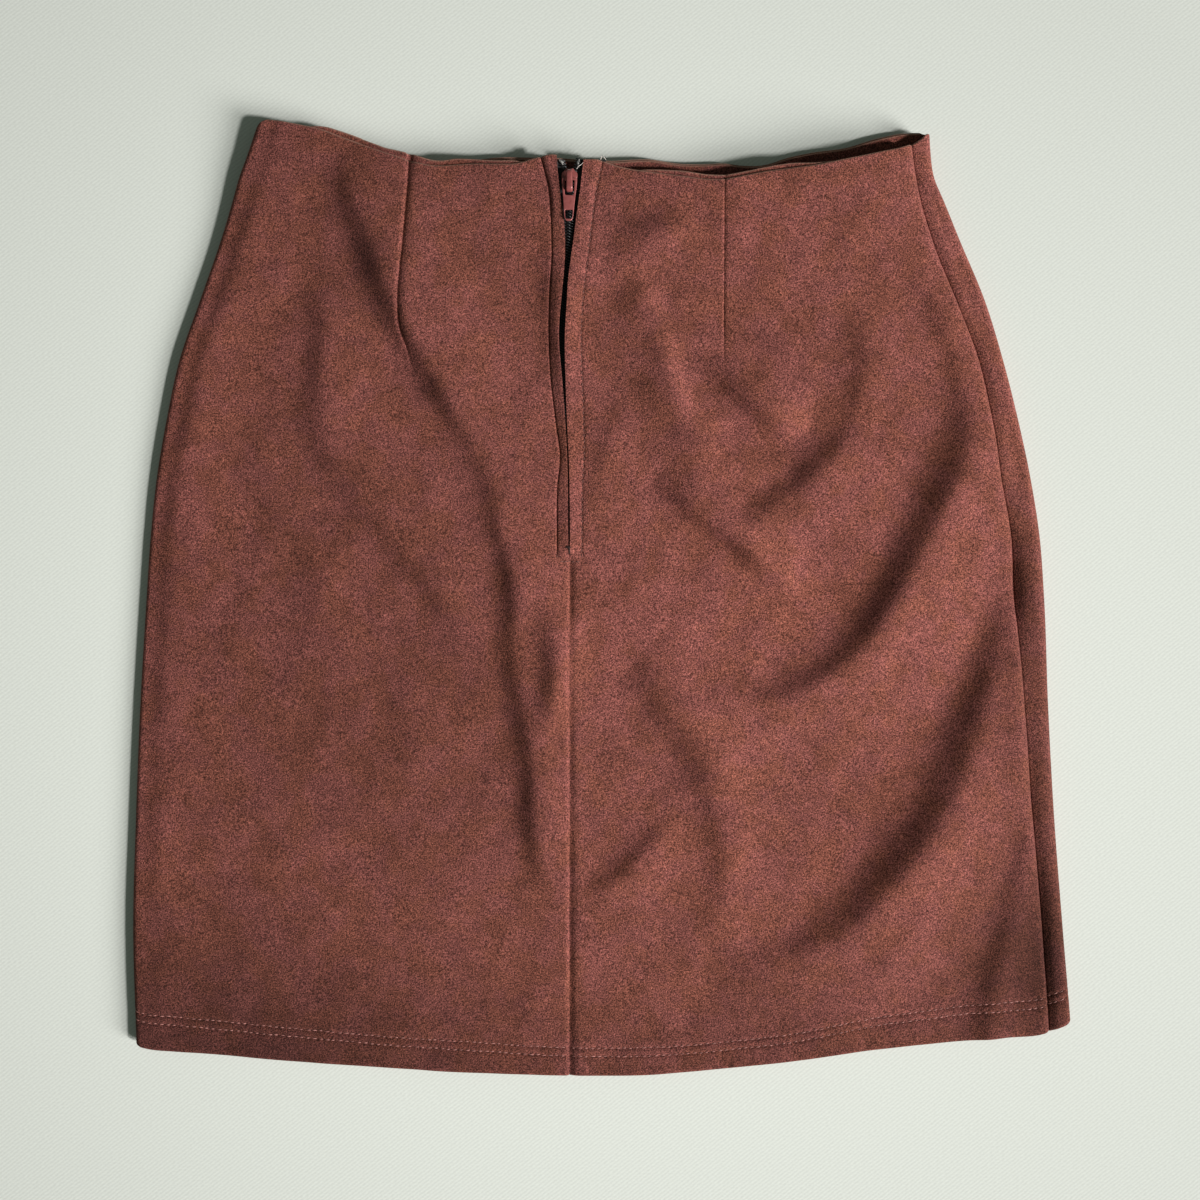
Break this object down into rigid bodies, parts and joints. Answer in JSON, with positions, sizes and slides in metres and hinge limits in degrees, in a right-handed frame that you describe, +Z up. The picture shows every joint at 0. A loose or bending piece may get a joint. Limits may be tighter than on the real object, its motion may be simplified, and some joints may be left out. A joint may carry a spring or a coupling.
{
  "type": "suede mini skirt",
  "caption": "Suede mini skirt laid flat with its back side up, with a short centre-back zip, waist darts and a turned-up hem.",
  "frame": {"origin": "on the surface that the skirt lies on, under the middle of its outline", "axes": "+X to the right of the laid-out skirt, +Y to the waist, +Z up, out of its back side"},
  "size_m": [0.4266, 0.4331, 0.0163],
  "materials": {
    "suede": "brushed suede cloth with a short nap",
    "facing": "the same suede cloth, inside the waist",
    "tape": "matte black woven tape",
    "paint": "satin paint, dusty pink",
    "stop": "moulded, pale grey"
  },
  "bodies": {
    "skirt": {"front_panel": "suede", "back_left_panel": "suede", "back_right_panel": "suede", "facing_front": "facing", "facing_back_left": "facing", "facing_back_right": "facing", "zip_tape_left": "tape", "zip_tape_right": "tape", "zip_slider": "paint", "zip_stop_left": "stop", "zip_stop_right": "stop", "zip_stop_bottom": "stop"},
    "pull_tab": {"zip_pull": "paint"}
  },
  "joints": [
    {"name": "pull_swing", "type": "hinge", "parent": "skirt", "child": "pull_tab", "pos_m": [-0.01551, 0.1879, 0.01211], "axis": [-1, 0, 0], "range_deg": [0, 170]}
  ]
}
